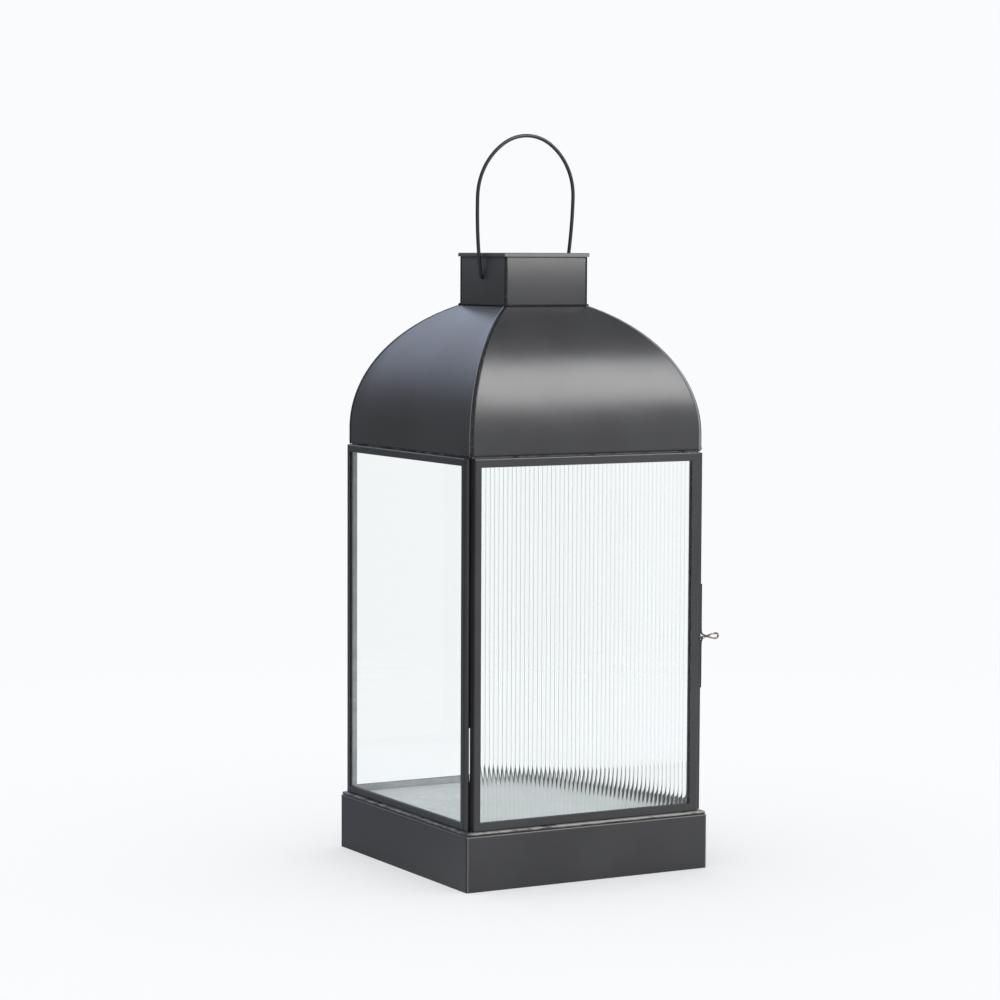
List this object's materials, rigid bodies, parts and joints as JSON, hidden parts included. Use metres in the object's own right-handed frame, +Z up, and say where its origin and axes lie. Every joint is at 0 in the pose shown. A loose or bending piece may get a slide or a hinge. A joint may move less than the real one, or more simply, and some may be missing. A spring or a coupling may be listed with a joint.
{
  "type": "candle lantern",
  "caption": "Square metal candle lantern with a solid base, one fluted and three clear glazed sides, a hinged door, a domed roof, a chimney collar and a swinging bail.",
  "frame": {"origin": "centre of the flat underside of the base", "axes": "+Z up; the fluted pane faces -Y, the door faces +X with its hinges on the +Y edge, and the bail turns about an axis parallel to X"},
  "size_m": [0.1515, 0.142, 0.38],
  "materials": {
    "black_paint": "satin",
    "painted_wire": "satin",
    "galvanised_sheet": "dull zinc",
    "fluted_glass": "polished, fluted",
    "clear_glass": "polished",
    "copper_wire": "tarnished copper",
    "hinge_steel": "satin"
  },
  "bodies": {
    "body": {"bottom_plate": "galvanised_sheet", "floor_plate": "galvanised_sheet", "front_skirt": "black_paint", "door_skirt": "black_paint", "back_skirt": "black_paint", "left_skirt": "black_paint", "front_stile_a": "black_paint", "front_stile_b": "black_paint", "front_rail_top": "black_paint", "front_rail_bottom": "black_paint", "front_pane": "fluted_glass", "back_stile_a": "black_paint", "back_stile_b": "black_paint", "back_rail_top": "black_paint", "back_rail_bottom": "black_paint", "back_pane": "clear_glass", "left_stile_a": "black_paint", "left_stile_b": "black_paint", "left_rail_top": "black_paint", "left_rail_bottom": "black_paint", "left_pane": "clear_glass", "post_front_left": "black_paint", "post_front_door": "black_paint", "post_back_door": "black_paint", "lower_hinge_fixed_leaf": "hinge_steel", "lower_hinge_pin": "hinge_steel", "upper_hinge_fixed_leaf": "hinge_steel", "upper_hinge_pin": "hinge_steel", "front_ledge": "black_paint", "door_ledge": "black_paint", "back_ledge": "black_paint", "left_ledge": "black_paint", "front_roof_panel": "black_paint", "door_roof_panel": "black_paint", "back_roof_panel": "black_paint", "left_roof_panel": "black_paint", "hip_seam_front_left": "black_paint", "hip_seam_front_door": "black_paint", "hip_seam_back_door": "black_paint", "hip_seam_back_left": "black_paint", "front_chimney_wall": "black_paint", "door_chimney_wall": "black_paint", "back_chimney_wall": "black_paint", "left_chimney_wall": "black_paint"},
    "door": {"door_stile_a": "black_paint", "door_stile_b": "black_paint", "door_rail_top": "black_paint", "door_rail_bottom": "black_paint", "door_pane": "clear_glass", "latch_pull": "copper_wire", "lower_hinge_door_leaf": "hinge_steel", "upper_hinge_door_leaf": "hinge_steel"},
    "bail": {"bail": "painted_wire"}
  },
  "joints": [
    {"name": "door_hinge", "type": "hinge", "parent": "body", "child": "door", "pos_m": [0.07025, 0.06915, 0], "axis": [0, 0, 1], "range_deg": [0, 110]},
    {"name": "bail_swing", "type": "hinge", "parent": "body", "child": "bail", "pos_m": [0, 0, 0.3058], "axis": [1, 0, 0], "range_deg": [-117, 111]}
  ]
}
